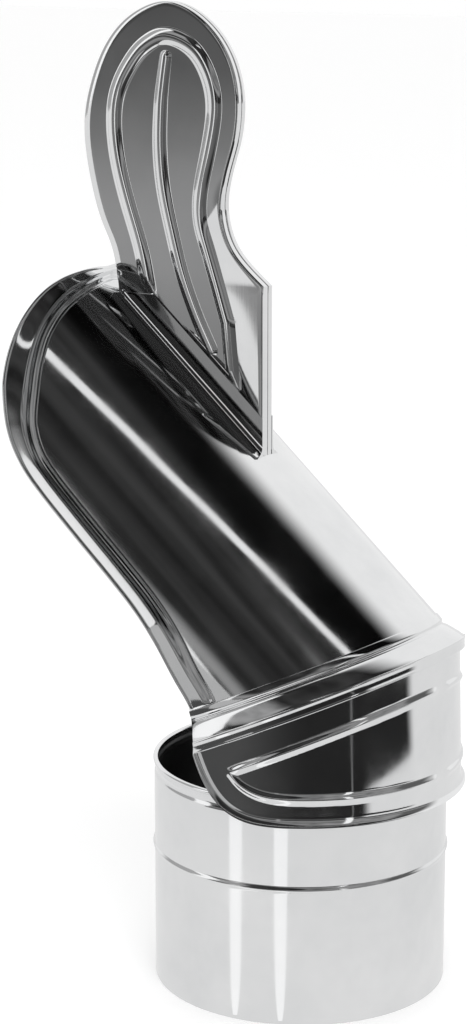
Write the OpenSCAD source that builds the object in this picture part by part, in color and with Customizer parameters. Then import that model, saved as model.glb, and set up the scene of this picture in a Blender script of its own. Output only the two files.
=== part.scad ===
// Rotary chimney cowl: a wind-turned hood with a vane on a round base pipe.
// Origin: centre of the base pipe's lower edge. Z is up and the hood's mouth faces -X.
// All sizes are in millimetres.

/* [Base pipe] */
// Outer diameter of the base pipe
pipe_d = 150; // [120:1:200]
// Height of the base pipe up to its rim
pipe_h = 117; // [95:1:180]
// Sheet thickness of the base pipe
pipe_wall = 1; // [0.6:0.1:2]
// Height of the stop bead over the lower edge
bead_z = 70.7; // [40:0.1:90]
// How far the stop bead stands out
bead_out = 1.1; // [0.6:0.1:2]
// Radius of the rolled rim
rim_r = 1.3; // [0.8:0.1:2.5]
// Drop of the groove's centre below the rim
groove_drop = 6.2; // [4:0.1:12]
// Depth of the groove below the rim
groove_depth = 0.7; // [0.3:0.1:1.2]

/* [Hood] */
// Angle of the hood's tube from upright
tilt = 49; // [40:1:55]
// Height of the mitre's centre over the pipe's rim
mitre_rise = 31.1; // [28:0.1:45]
// Sheet thickness of the hood
sheet = 1; // [0.6:0.1:1.5]
// Length of the ridge from the mitre's centre to the mouth
hood_len = 220.5; // [190:0.5:260]
// Angle where the mouth's edge meets the collar
mouth_end_angle = 82; // [80:0.5:86]
// Width of the pressed groove round the mouth
groove_w = 3.7; // [2.5:0.1:5]
// Depth of the pressed groove round the mouth
groove_d = 1.2; // [0.6:0.1:1.8]
// Width of the mouth's lip along its sides
lip_w = 13.8; // [10:0.1:16]
// Angle by which the mouth's lip turns outwards
lip_flare = 25; // [10:1:40]
// Width of the lip's rolled hem
hem_w = 2.4; // [1.8:0.1:3]
// Height of the hem over the lip
hem_h = 0.8; // [0.5:0.1:1.2]

/* [Collar] */
// Width of the collar above the mitre
collar_w = 15; // [12:0.5:20]
// How far the collar flares from the tube to the seam
collar_flare = 3.6; // [2:0.1:5]
// Height of the folded lock seam
seam_h = 6; // [4:0.5:8]
// Angle at which the lock seam ends, from the rear
collar_end_angle = 98.3; // [95:0.1:100]

/* [Skirt] */
// Gap between the base pipe and the skirt's foot
skirt_gap = 6.2; // [4:0.1:12]
// How far the skirt hangs below the pipe's rim
skirt_drop = 10.6; // [6:0.1:16]
// How much the skirt narrows towards the seam
skirt_narrowing = 2; // [0:0.1:2.5]
// Angle at which the skirt's wall ends, from the rear
skirt_end_angle = 94.5; // [92:0.1:96]
// Height of the skirt's pressed beads
skirt_bead = 1.2; // [0.6:0.1:2]
// Half width of the skirt's pressed beads
skirt_bead_w = 3; // [2:0.1:4]
// Drop of the upper bead below the mitre
upper_bead_drop = 21; // [16:0.5:26]
// Rise of the lower bead over the skirt's foot
lower_bead_rise = 13.5; // [10:0.5:18]
// Height of the skirt's flared foot
skirt_foot_h = 5.2; // [4:0.1:7]
// How far the skirt's foot flares out of the wall
skirt_foot_out = 2.4; // [1.5:0.1:3]

/* [Vane] */
// Height of the vane over the foot of its rear edge
vane_h = 224.2; // [200:0.1:240]
// Distance of the vane's rear edge ahead of the axis
vane_rear = 20.5; // [10:0.5:40]
// Depth of each of the two vane pressings
vane_depth = 4; // [2.5:0.1:6]
// Height of the vane's pressed beads
vane_bead = 1.5; // [1:0.1:2.5]
// Half width of the vane's pressed beads
vane_bead_w = 4; // [2:0.1:4.2]
// Width of the vane's rounded edge at the top and the rear
vane_round = 2.9; // [2:0.1:3.5]
// Width that the rounded edge gains towards the front
vane_round_front = 2.3; // [0:0.1:2.5]
// Height of each foot's web over the ridge
foot_web = 14.6; // [10:0.1:20]
// Width of each foot's flange
foot_flange = 14.5; // [8:0.5:18]
// Sheet thickness of the feet
foot_t = 1; // [0.8:0.1:2]
// Height of the feet's level front edge over the vane's foot
foot_front = 76.8; // [70:0.1:78]
// Length of each foot along the ridge
foot_len = 118; // [108:1:118]

/* [Bearing] */
// Diameter of the spindle
spindle_d = 10; // [8:0.5:14]
// Running clearance of the bushes round the spindle
bush_clear = 0.06; // [0.02:0.01:0.1]
// Outer diameter of the bushes
bush_d = 16; // [14:0.5:22]
// Length of each bush
bush_len = 14; // [8:0.5:20]
// Wall of the bearing tube
bearing_wall = 3; // [2:0.5:5]
// Diameter of the thrust ball
ball_d = 10; // [6:0.5:12]
// Gap over the spindle's end, under the ball
ball_gap = 0.05; // [0.02:0.01:0.1]
// Wall of the bearing cap
cap_wall = 3; // [2:0.5:5]
// Height of the spindle's end over the upper hood bridge
spindle_end = 1; // [0.5:0.5:3]

/* [Bridges] */
// Thickness of the bridges
bridge_t = 3; // [2:0.5:5]
// Width of the bridges
bridge_w = 20; // [16:1:30]
// Height of the base's lower bridge
base_low_z = 22; // [16:1:40]
// Height of the base's upper bridge
base_up_z = 84; // [60:1:90]
// Length of the base bridges' end tabs
tab_h = 12; // [8:1:18]
// Height of the hood's lower bridge over the rim
hood_low_rise = 12; // [8:1:16]
// Height of the hood's upper bridge over the mitre
hood_up_rise = 56; // [45:1:60]
// Gap between the bridges' tabs and the hood's sheet
tab_gap = 0.3; // [0.2:0.05:0.5]

/* [Fasteners] */
// Width across the flats of the spindle nuts
nut_af = 16; // [14:0.5:20]
// Height of the spindle nuts
nut_h = 8; // [5:0.5:10]
// Chamfer at the spindle's ends
spindle_chamfer = 1; // [0.5:0.1:1.5]
// Outer diameter of the washers
washer_d = 20; // [18:1:24]
// Thickness of the washers
washer_t = 2; // [1:0.5:3]
// Clearance of the holes for the spindle in the base bridges
hole_clear = 0.25; // [0.1:0.05:0.5]

/* [View] */
// Name of the node to build, or all

/* [Hidden] */
$fn = 96;

steel = [0.78, 0.79, 0.8];
bronze = [0.72, 0.52, 0.3];

half = tilt / 2;
pipe_r = pipe_d / 2;
mitre_z = pipe_h + mitre_rise;
skirt_r = pipe_r + skirt_gap + sheet;
seam_r = skirt_r + 0.4 * sheet;
tube_r = seam_r - collar_flare;
spindle_r = spindle_d / 2;
bush_r = bush_d / 2;
bearing_r = bush_r + bearing_wall;
foot_root_z = pipe_h - skirt_drop + skirt_foot_h;

hood_low_z = pipe_h + hood_low_rise;
hood_up_z = mitre_z + hood_up_rise;
bearing_bottom = hood_low_z + bridge_t;
spindle_top = hood_up_z + bridge_t + spindle_end;
spindle_bottom = base_low_z - washer_t - nut_h - 3;
ball_z = spindle_top + ball_gap + ball_d / 2;

// Point at distance s along the hood's axis, angle a from its ridge, radius r.
function tube_point(s, a, r) = [
  -s * sin(tilt) + r * cos(a) * cos(tilt),
  r * sin(a),
  mitre_z + s * cos(tilt) + r * cos(a) * sin(tilt)];

// Point at angle a from the rear, radius r and height z on the upright axis.
function round_point(a, r, z) = [r * cos(a), r * sin(a), z];

// Distance along the hood's axis of the plane that lies d above the mitre.
function plane_s(a, r, d) = d / cos(half) - r * cos(a) * tan(half);

// Height of the plane that lies h below the mitre.
function plane_z(a, r, h) = mitre_z + r * cos(a) * tan(half) - h;
skirt_top_r = skirt_r - skirt_narrowing;
skirt_wall_h = plane_z(0, skirt_r, seam_h) - foot_root_z;

// Smooth curve through hand-set points.
function blend_point(p, i, t) =
  let (a = p[max(i - 1, 0)], b = p[i], c = p[i + 1], d = p[min(i + 2, len(p) - 1)])
  0.5 * (2 * b + (c - a) * t + (2 * a - 5 * b + 4 * c - d) * t * t
    + (3 * b - a - 3 * c + d) * t * t * t);
function smooth(p, n) = concat(
  [for (i = [0:len(p) - 2]) for (k = [0:n - 1]) blend_point(p, i, k / n)],
  [p[len(p) - 1]]);

function unit(v) = v / norm(v);
function step(x, a, b) = let (t = min(max((x - a) / (b - a), 0), 1)) t * t * (3 - 2 * t);
function back(list) = [for (i = [len(list) - 1:-1:0]) list[i]];

// A formed sheet: each section is its outer points followed by its inner points in reverse.
module sheet_form(half_sections) {
  other = [for (i = [len(half_sections) - 1:-1:1])
    [for (p = half_sections[i]) [p[0], -p[1], p[2]]]];
  sections = concat(other, half_sections);
  n = len(sections);
  m = len(sections[0]);
  side = [for (i = [0:n - 2]) for (j = [0:m - 1]) let (k = (j + 1) % m)
    each [[i * m + j, i * m + k, (i + 1) * m + k],
      [i * m + j, (i + 1) * m + k, (i + 1) * m + j]]];
  ends = [for (j = [0:m / 2 - 2]) let (q = m - 1 - j, e = (n - 1) * m)
    each [[j, q, q - 1], [j, q - 1, j + 1],
      [e + j, e + q - 1, e + q], [e + j, e + j + 1, e + q - 1]]];
  polyhedron(points = [for (s = sections) each s], faces = concat(side, ends));
}

// The mouth's edge: share of the hood's length, angle from the ridge, share of the lip's width.
mouth_curve = [[1, 0, 0.6], [0.989, 14, 0.89], [0.973, 28, 1.16], [0.943, 39.5, 1.3],
  [0.902, 48.5, 1.41], [0.852, 57, 1.4], [0.798, 65.2, 1.17], [0.739, 69.7, 1.03],
  [0.671, 71.2, 1], [0.544, 71.8, 1], [0.417, 72.1, 1], [0.317, 72.7, 1.01],
  [0.227, 74.6, 1.01], [0.154, 77.6, 1],
  [plane_s(mouth_end_angle, tube_r, collar_w) / hood_len, mouth_end_angle, 0.99]];
mouth = smooth([for (p = mouth_curve) [p[0] * hood_len, p[1], p[2] * lip_w]], 2);
mouth_n = len(mouth) - 1;

// Profile of groove, lip and rolled hem: distance out and height over the sheet.
function lip_profile(w, flare, low) = let (b = w - groove_w) concat(
  [[0.25 * groove_w, -0.7 * groove_d - low], [0.52 * groove_w, -groove_d - low],
    [0.8 * groove_w, -0.4 * groove_d - low], [groove_w, 0.3 - low]],
  [for (q = low == 0
      ? [[b * 0.5, 0.2], [b - hem_w, 0], [b - 0.55 * hem_w, hem_h], [b - 0.2, 0.4 * hem_h]]
      : [[b * 0.5, 0.2 - low], [b - hem_w, -low], [b - 0.55 * hem_w, -low - hem_h],
        [b - 0.2, -low - 0.4 * hem_h]])
    [groove_w + q[0] * cos(flare) - q[1] * sin(flare),
      0.3 + q[0] * sin(flare) + q[1] * cos(flare)]]);

function mouth_section(i) =
  let (s = mouth[i][0], a = mouth[i][1], w = mouth[i][2],
    last = i == mouth_n,
    flare = lip_flare * min(1, (mouth_n - i) / 6 + 0.2),
    before = i == 0 ? tube_point(mouth[1][0], -mouth[1][1], tube_r)
      : tube_point(mouth[i - 1][0], mouth[i - 1][1], tube_r),
    after = last ? [0, 0, 0] : tube_point(mouth[i + 1][0], mouth[i + 1][1], tube_r),
    along = unit(last ? [0, 1, 0] : after - before),
    up = unit(tube_point(0, a, 1) - tube_point(0, a, 0)),
    out = unit(cross(up, along)),
    edge = tube_point(s, a, tube_r),
    a_low = last ? a - 0.8 : a)
  let (side = function (low) concat(
    [tube_point(plane_s(a_low, tube_r - low, collar_w), a_low, tube_r - low)],
    [last ? tube_point(plane_s(a, tube_r - low, collar_w), a, tube_r - low)
      : edge - low * up],
    [for (q = lip_profile(w, flare, low))
      let (r = sqrt(tube_r * tube_r + q[0] * q[0]) + q[1], b = a + atan(q[0] / tube_r))
      last ? tube_point(plane_s(b, r, collar_w), b, r) : edge + q[0] * out + q[1] * up]))
  concat(side(0), back(side(sheet)));

module hood_shell() color(steel)
  sheet_form([for (i = [0:mouth_n]) mouth_section(i)]);

// The collar's rows: distance above the mitre, then radius over the tube outside and inside.
collar_rows = [[collar_w, 0.6 * sheet, -0.4 * sheet], [0.84 * collar_w, 0.5 * sheet, -0.5 * sheet],
  [0.66 * collar_w, -0.4 * sheet, -1.4 * sheet],
  [0.44 * collar_w, 0.34 * collar_flare, 0.34 * collar_flare - sheet],
  [0.2 * collar_w, 0.76 * collar_flare, 0.76 * collar_flare - sheet],
  [0, collar_flare, collar_flare - sheet]];
// The lock seam's rows: share of its height, radius outside and inside the folded layers.
fold_r = seam_r - 2.8 * sheet;
seam_rows = [[0.12, seam_r + 0.3 * sheet, seam_r - 1.6 * sheet], [0.5, seam_r + 0.1 * sheet, fold_r],
  [0.9, seam_r + 0.1 * sheet, fold_r], [1, seam_r - 0.3 * sheet, fold_r]];
collar_top_angle = mouth_end_angle + 10.4;

function collar_section(t) =
  let (side = function (k) concat(
    [for (q = collar_rows)
      let (a = t * (collar_top_angle + (collar_end_angle - collar_top_angle) * (1 - q[0] / collar_w)),
        r = tube_r + q[k])
      tube_point(plane_s(a, r, q[0]), a, r)],
    [for (q = seam_rows) let (a = t * collar_end_angle)
      round_point(a, q[k], plane_z(a, q[k], q[0] * seam_h))]))
  concat(side(2), back(side(1)));

module collar() color(steel)
  sheet_form([for (i = [0:20]) collar_section(i / 20)]);

// The skirt's wall, its two pressed beads and its flared foot.
function skirt_wall_r(z) =
  skirt_r - skirt_narrowing * min(max((z - foot_root_z) / skirt_wall_h, 0), 1);
// The foot's root is level at the rear and climbs to the seam at the wall's end.
foot_climb_angle = 58;
function skirt_root(a) = foot_root_z
  + (plane_z(skirt_end_angle, skirt_r, seam_h) - foot_root_z)
    * pow(max(a - foot_climb_angle, 0) / (skirt_end_angle - foot_climb_angle), 4.5);
// The lower bead leaves the foot's line and climbs to meet the upper one.
bead_climb_angle = 55;
bead_meet_angle = 85.5;
function upper_bead(a) = plane_z(a, skirt_r, upper_bead_drop);
function lower_bead(a) = let (low = pipe_h - skirt_drop + lower_bead_rise)
  low + 1.28 * (upper_bead(bead_meet_angle) - low)
    * pow(max(a - bead_climb_angle, 0) / (bead_meet_angle - bead_climb_angle), 4);
skirt_rows = [[0, 1, 0], [0, 0.4, 0.75], [0, 0, 1], [0, -0.4, 0.75], [0, -1, 0],
  [1, 1, 0], [1, 0.4, 0.75], [1, 0, 1], [1, -0.4, 0.75], [1, -1, 0]];
skirt_n = 24;
// The foot's section: share of its height and of its flare, outside and inside.
foot_outer = [[0.31, 0.06], [0.62, 0.38], [0.85, 0.83], [1, 1]];
foot_inner = [[0.31, 0.06], [0.62, 0.38], [0.87, 0.75], [1.08, 0.875]];

function skirt_angle(i) = skirt_end_angle * (1 - pow(1 - i / skirt_n, 1.6));

function skirt_section(i) =
  let (last = i == skirt_n,
    a = skirt_angle(i),
    top = plane_z(a, skirt_top_r, seam_h),
    root = skirt_root(a),
    fade = 1 - step(a, 79, 86),
    rise = skirt_bead * fade * step(a, 1, 6),
    n = len(skirt_rows) + 1,
    before = i == 0 ? -skirt_angle(1) : skirt_angle(i - 1),
    after = last ? a : skirt_angle(i + 1),
    along = unit(round_point(after, skirt_r, skirt_root(after))
      - round_point(before, skirt_r, skirt_root(before))),
    up = [cos(a), sin(a), 0],
    out = unit(cross(along, up)),
    rows = concat([[top, 0]],
      [for (j = [0:n - 2]) let (q = skirt_rows[j])
        [fade * ((q[0] == 0 ? upper_bead(a) : lower_bead(a)) + q[1] * skirt_bead_w)
          + (1 - fade) * (top + (root - top) * (j + 1) / n), rise * q[2]]],
      [[root, 0]]))
  let (side = function (low) concat(
    [for (j = [0:n]) let (z = rows[j][0], r = skirt_wall_r(z) + rows[j][1] - low,
        b = a - 0.9 + 0.9 * j / n, rb = skirt_top_r - low)
      last ? round_point(b, rb, plane_z(b, rb, seam_h))
        : round_point(a, r, j == 0 ? plane_z(a, r, seam_h) : z)],
    [for (f = low == 0 ? foot_outer : foot_inner)
      let (q = [f[0] * skirt_foot_h, f[1] * skirt_foot_out - low],
        r0 = skirt_wall_r(root), r = sqrt(r0 * r0 + q[0] * q[0]) + q[1],
        b = a + atan(q[0] / r0))
      last ? round_point(b, r, plane_z(b, r, seam_h))
        : round_point(a, r0, root) + q[0] * out + q[1] * up]))
  concat(side(sheet), back(side(0)));

module skirt() color(steel)
  sheet_form([for (i = [0:skirt_n]) skirt_section(i)]);

// The vane's outline and beads from the foot of its rear edge, drawn for the height drawn_h.
ridge = tan(90 - tilt);
drawn_h = 224.2;
vane_scale = vane_h / drawn_h;
vane_foot = tube_point((tube_r * cos(tilt) + vane_rear) / sin(tilt), 0, tube_r);
vane_curve = [[-89.3, 89.3 * ridge], [-92.6, 98], [-101.4, 116], [-107.8, 140], [-110, 160],
  [-107, 178], [-97.5, 200], [-82, 216], [-60, 224.2], [-40, 218], [-24, 203], [-16, 183],
  [-16.5, 160], [-23, 139], [-25.5, 121], [-19, 102], [0, 85.6]];
vane_outline = vane_scale
  * concat(smooth(vane_curve, 3), [[0, 42], [0, 0], [-44, 44 * ridge]]);
bead_curve = [[-67.5, 68], [-72.9, 97.4], [-81.9, 123.4], [-88, 145], [-90, 165], [-87, 181],
  [-77.5, 195.5], [-68.5, 203], [-57.3, 206.7], [-41.5, 201], [-32, 187.5], [-29, 172],
  [-32.6, 152], [-37.8, 131], [-38, 116], [-33, 101], [-27, 83]];
vane_ring = vane_scale * concat(smooth(bead_curve, 3), [[-21.5, 66], [-18.5, 36], [-44, 56]]);
rib_curve = [[-31, 51], [-40.5, 69], [-48.8, 89], [-55.2, 111], [-60, 131], [-62, 151],
  [-61.5, 171], [-60, 184], [-57.5, 197.5]];
rib_line = vane_scale * smooth(rib_curve, 3);

// At each point, the step that moves the curve inwards by 1.
function inward(p) = [for (i = [0:len(p) - 1])
  let (n = len(p), u = unit(p[i] - p[(i + n - 1) % n]), v = unit(p[(i + 1) % n] - p[i]),
    a = [u[1], -u[0]], b = [v[1], -v[0]])
  (a + b) / (1 + a * b)];

// The curve moved inwards by d, which is one number or one for each point.
function inset(p, d) = let (w = inward(p))
  [for (i = [0:len(p) - 1]) p[i] + (is_list(d) ? d[i] : d) * w[i]];

// A loop round the rib, w to each side of its line, matching the outline point by point.
function rib_loop(w) = let (n = len(rib_line) - 1)
  [for (i = [0:2 * n + 3])
    let (k = min(i <= n ? i : 2 * n - i, n), j = max(k, 0),
      d = unit(rib_line[min(j + 1, n)] - rib_line[max(j - 1, 0)]),
      across = i > 2 * n ? [0.7, 0, -0.7][i - 2 * n - 1] : (i < n ? -1 : i == n ? 0 : 1),
      along = i > 2 * n ? [-0.7, -1, -0.7][i - 2 * n - 1] : (i == n ? 1 : 0))
    rib_line[j] + w * (across * [d[1], -d[0]] + along * d)];

// The beads die out under the foot's web, which lies flat on the pressing.
function bead_rise(p) =
  vane_bead * step((p[1] + p[0] * ridge) * sin(tilt), foot_web + 0.6, foot_web + 4.5);

// One pressing of the vane, from the split plane out to depth, with its pressed beads.
module vane_half() translate(vane_foot) {
  wide = [for (w = inward(vane_outline)) vane_round + vane_round_front * max(0, w[0])];
  edge = [for (q = [[0, 0], [0.6, 0], [0.88, 0.375], [1, 1]])
    [for (p = inset(vane_outline, q[1] * wide)) [p[0], q[0] * vane_depth, p[1]]]];
  bead = [for (q = [[-1, 0], [-0.4, 0.9], [0, 1], [0.4, 0.9], [1, 0]])
    [for (p = inset(vane_ring, q[0] * vane_bead_w))
      [p[0], vane_depth + q[1] * bead_rise(p), p[1]]]];
  rib = [for (q = [[0.9, 0], [0.4, 0.9], [0.1, 1]])
    [for (p = rib_loop(q[0] * vane_bead_w)) [p[0], vane_depth + q[1] * bead_rise(p), p[1]]]];
  deep = vane_depth - sheet;
  thick = [for (w = wide) sheet];
  inner = [for (q = [[1, 0.7], [0.88, 0.26], [0, 0]])
    [for (p = inset(vane_outline, q[1] * wide + thick)) [p[0], q[0] * deep, p[1]]]];
  rings = concat(inner, edge, bead, rib);
  n = len(vane_outline);
  m = len(rings);
  top = (m - 1) * n;
  polyhedron(points = [for (r = rings) each r], faces = concat(
    [for (k = [0:m - 2]) for (i = [0:n - 1]) let (j = (i + 1) % n, l = k + 1)
      each [[k * n + i, l * n + j, k * n + j], [k * n + i, l * n + i, l * n + j]]],
    [[for (i = [0:n - 1]) i]],
    [for (i = [0:(n - 4) / 2 - 1]) let (a = top + i, b = top + n - 4 - i)
      each i == (n - 4) / 2 - 1 ? [[a, b, a + 1]] : [[a, b, a + 1], [a + 1, b, b - 1]]],
    [[top, top + n - 1, top + n - 2], [top, top + n - 2, top + n - 3],
      [top, top + n - 3, top + n - 4]]));
}

module vane_near() color(steel) mirror([0, 1, 0]) vane_half();
module vane_far() color(steel) vane_half();

// A foot: an upright web against the vane and a flange on the hood's ridge.
module foot_half() difference() {
  rear = (tube_r * cos(tilt) + vane_rear) / sin(tilt);
  front = rear + foot_len;
  wide = vane_depth + foot_flange;
  web = vane_depth + foot_t;
  translate([0, 0, mitre_z]) rotate([0, -tilt, 0]) difference() {
    translate([0, 0, rear - 30]) linear_extrude(front - rear + 60) difference() {
      intersection() {
        union() {
          circle(r = tube_r + foot_t);
          translate([0, vane_depth]) square([tube_r + foot_web, foot_t]);
        }
        translate([0, vane_depth]) square([tube_r + foot_web + 1, foot_flange]);
      }
      circle(r = tube_r);
    }
    translate([tube_r - 20, 0, 0]) rotate([90, 0, 90]) linear_extrude(20 + 2 * foot_t) polygon([
      [web + 1, rear - 40], [web + 1, rear - 2], [wide - 3, rear + 24], [wide, rear + 32],
      [wide, front - 6], [web + 1, front], [web + 1, front + 40], [wide + 5, front + 40],
      [wide + 5, rear - 40]]);
  }
  translate([-vane_rear, 0, vane_foot[2] - 60]) cube([200, 60, 200]);
  translate([-300, 0, vane_foot[2] + foot_front]) cube([400, 60, 100]);
}

module foot_near() color(steel) mirror([0, 1, 0]) foot_half();
module foot_far() color(steel) foot_half();

// A round bar of sheet bent down against a round wall, used for the base bridges.
module base_bridge(z) difference() {
  intersection() {
    union() {
      translate([-bridge_w / 2, -pipe_r, z]) cube([bridge_w, pipe_d, bridge_t]);
      difference() {
        translate([-bridge_w / 2, -pipe_r, z - tab_h])
          cube([bridge_w, pipe_d, tab_h + bridge_t]);
        translate([0, 0, z - tab_h - 1])
          cylinder(h = tab_h + bridge_t + 2, r = pipe_r - pipe_wall - bridge_t);
      }
    }
    translate([0, 0, z - tab_h]) cylinder(h = tab_h + bridge_t, r = pipe_r - pipe_wall);
  }
  translate([0, 0, z - 1]) cylinder(h = bridge_t + 2, r = spindle_r + hole_clear);
}

module base_low_bridge() color(steel) base_bridge(base_low_z);
module base_up_bridge() color(steel) base_bridge(base_up_z);

module base_pipe() color(steel) rotate_extrude() {
  groove_r = 2.4;
  groove_z = pipe_h - groove_drop;
  difference() {
    union() {
      translate([pipe_r - pipe_wall, 0]) square([pipe_wall, pipe_h - rim_r]);
      translate([pipe_r - pipe_wall + 0.2, bead_z]) circle(r = bead_out + pipe_wall - 0.2);
      translate([pipe_r - rim_r / 2, pipe_h - rim_r]) circle(r = rim_r);
      intersection() {
        translate([pipe_r + groove_r - groove_depth, groove_z]) circle(r = groove_r + pipe_wall);
        translate([0, groove_z - 5]) square([pipe_r - 0.1, 10]);
      }
    }
    translate([pipe_r - pipe_wall + 0.2, bead_z]) circle(r = bead_out - 0.2);
    translate([0, bead_z - 5]) square([pipe_r - pipe_wall, 10]);
    translate([pipe_r + groove_r - groove_depth, groove_z]) circle(r = groove_r);
  }
}

// A round body whose ends narrow from radius r to radius end over the height cut.
module chamfered(h, r, end, cut) rotate_extrude()
  polygon([[0, 0], [end, 0], [r, cut], [r, h - cut], [end, h], [0, h]]);

module spindle() color(steel) translate([0, 0, spindle_bottom])
  chamfered(spindle_top - spindle_bottom, spindle_r, spindle_r - spindle_chamfer, spindle_chamfer);

module nut(z) translate([0, 0, z]) difference() {
  corner_r = nut_af / 2 / cos(30);
  face_r = 0.475 * nut_af;
  intersection() {
    cylinder(h = nut_h, r = corner_r, $fn = 6);
    chamfered(nut_h, corner_r + 0.1, face_r, (corner_r + 0.1 - face_r) * tan(30));
  }
  translate([0, 0, -1]) cylinder(h = nut_h + 2, r = spindle_r);
}
module washer(z) translate([0, 0, z]) difference() {
  cylinder(h = washer_t, r = washer_d / 2);
  translate([0, 0, -1]) cylinder(h = washer_t + 2, r = spindle_r + hole_clear);
}

module low_washer() color(steel) washer(base_low_z - washer_t);
module low_nut_under() color(steel) nut(base_low_z - washer_t - nut_h);
module low_nut_over() color(steel) nut(base_low_z + bridge_t);
module up_nut_under() color(steel) nut(base_up_z - nut_h);
module up_washer() color(steel) washer(base_up_z + bridge_t);
module up_nut_over() color(steel) nut(base_up_z + bridge_t + washer_t);

// The hood's lower bridge: a bar swept back to the skirt's wall, with upright end tabs.
module hood_low_bridge() color(steel) {
  wall = skirt_wall_r(hood_low_z + bridge_t + tab_h) - sheet - tab_gap;
  difference() {
    intersection() {
      union() {
        translate([0, 0, hood_low_z]) linear_extrude(bridge_t) polygon([
          [-bridge_w / 2, -14], [-1, -wall], [-1 + bridge_w * 0.8, -wall], [bridge_w / 2, -14],
          [bridge_w / 2, 14], [-1 + bridge_w * 0.8, wall], [-1, wall], [-bridge_w / 2, 14]]);
        difference() {
          translate([-1, -wall, hood_low_z])
            cube([bridge_w * 0.8, 2 * wall, bridge_t + tab_h - 3]);
          translate([0, 0, hood_low_z - 1]) cylinder(h = 60, r = wall - 2);
        }
      }
      translate([0, 0, hood_low_z - 1]) cylinder(h = 60, r = wall);
    }
    translate([0, 0, hood_low_z - 1]) cylinder(h = bridge_t + 2, r = bush_r);
  }
}

// The hood's upper bridge: a bar cut to the tube's round wall, with end tabs along it.
module hood_up_bridge() color(steel) {
  wall = tube_r - sheet - tab_gap;
  difference() {
    intersection() {
      union() {
        translate([-bridge_w / 2, -wall, hood_up_z]) cube([bridge_w, 2 * wall, bridge_t]);
        difference() {
          translate([-bridge_w / 2, -wall, hood_up_z - tab_h])
            cube([bridge_w, 2 * wall, tab_h + bridge_t]);
          translate([0, 0, mitre_z]) rotate([0, -tilt, 0]) cylinder(h = 160, r = wall - 2);
        }
      }
      translate([0, 0, mitre_z]) rotate([0, -tilt, 0]) cylinder(h = 160, r = wall);
    }
    translate([0, 0, hood_up_z - 1]) cylinder(h = bridge_t + 2, r = bush_r);
  }
}

module bearing_tube() color(steel) translate([0, 0, bearing_bottom]) difference() {
  cylinder(h = hood_up_z - bearing_bottom, r = bearing_r);
  translate([0, 0, -1]) cylinder(h = hood_up_z - bearing_bottom + 2, r = bush_r);
}
module bush(z) translate([0, 0, z]) difference() {
  cylinder(h = bush_len, r = bush_r);
  translate([0, 0, -1]) cylinder(h = bush_len + 2, r = spindle_r + bush_clear);
}
module low_bush() color(bronze) bush(bearing_bottom);
module up_bush() color(bronze) bush(hood_up_z - bush_len);

module bearing_cap() color(steel) {
  bore = ball_d / 2 + 0.6;
  foot = hood_up_z + bridge_t;
  roof = ball_z + ball_d / 2;
  difference() {
    union() {
      translate([0, 0, foot]) cylinder(h = 2, r = bush_r + 5);
      translate([0, 0, foot]) cylinder(h = roof - foot + cap_wall, r = bore + cap_wall);
    }
    translate([0, 0, foot - 1]) cylinder(h = roof - foot + 1, r = bore);
  }
}
module thrust_ball() color(steel) translate([0, 0, ball_z]) sphere(r = ball_d / 2);

base_pipe();
base_low_bridge();
base_up_bridge();
spindle();
low_nut_under();
low_nut_over();
low_washer();
up_nut_under();
up_nut_over();
up_washer();
hood_shell();
collar();
skirt();
vane_near();
vane_far();
foot_near();
foot_far();
hood_low_bridge();
hood_up_bridge();
bearing_tube();
low_bush();
up_bush();
bearing_cap();
thrust_ball();
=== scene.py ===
# %% [markdown]
# # A rotary chimney cowl in polished stainless sheet
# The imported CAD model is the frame: it gives every piece its size, its place and the joint it
# turns on. This lesson builds the visible sheets again as smooth numpy surfaces, because a mirror
# finish shows each flat facet of a coarse mesh. The bars, nuts and bearing inside are plain
# shapes, so they keep the CAD mesh and only get a better finish.

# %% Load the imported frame
import math

import bpy
import numpy as np
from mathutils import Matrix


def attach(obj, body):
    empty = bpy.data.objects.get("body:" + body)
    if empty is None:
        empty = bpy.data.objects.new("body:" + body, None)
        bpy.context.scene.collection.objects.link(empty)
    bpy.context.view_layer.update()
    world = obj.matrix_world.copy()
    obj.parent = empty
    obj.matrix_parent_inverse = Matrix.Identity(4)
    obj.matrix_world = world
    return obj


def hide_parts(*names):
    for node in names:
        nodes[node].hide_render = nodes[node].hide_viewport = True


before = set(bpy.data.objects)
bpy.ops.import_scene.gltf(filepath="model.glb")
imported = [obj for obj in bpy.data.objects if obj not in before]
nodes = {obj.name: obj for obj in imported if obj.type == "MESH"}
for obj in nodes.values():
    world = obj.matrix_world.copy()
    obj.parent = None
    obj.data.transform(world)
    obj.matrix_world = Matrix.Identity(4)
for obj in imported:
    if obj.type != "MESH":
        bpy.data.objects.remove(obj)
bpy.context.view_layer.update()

# %% [markdown]
# ## Sizes
# Everything is worked out in millimetres and turned into metres at the very end, when a mesh is
# made. The hood's tube leans at 49 degrees from upright and meets the upright skirt in a mitre
# plane.

# %% Sizes and points on the two axes
TILT = math.radians(49)
HALF = TILT / 2
MITRE_Z = 148.1
TUBE_R = 79.0
SKIRT_R = 82.2
PIPE_R = 75.0
SHEET = 1.0
COLLAR_TOP = 15
SEAM_H = 6


def tube_xyz(x, y, s):
    """Point at s along the hood's axis, x from it towards the ridge and y across."""
    level = -s * math.sin(TILT) + x * math.cos(TILT)
    height = MITRE_Z + s * math.cos(TILT) + x * math.sin(TILT)
    return np.stack(np.broadcast_arrays(level, y, height), axis=-1)


def tube_point(s, a, r):
    """Point at distance s along the hood's axis, a degrees from its ridge, r from its axis."""
    a = np.radians(a)
    return tube_xyz(r * np.cos(a), r * np.sin(a), s)


def round_point(a, r, z):
    """Point a degrees from the rear, r from the upright axis, at height z."""
    a = np.radians(a)
    return np.stack(np.broadcast_arrays(r * np.cos(a), r * np.sin(a), z), axis=-1)


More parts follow.
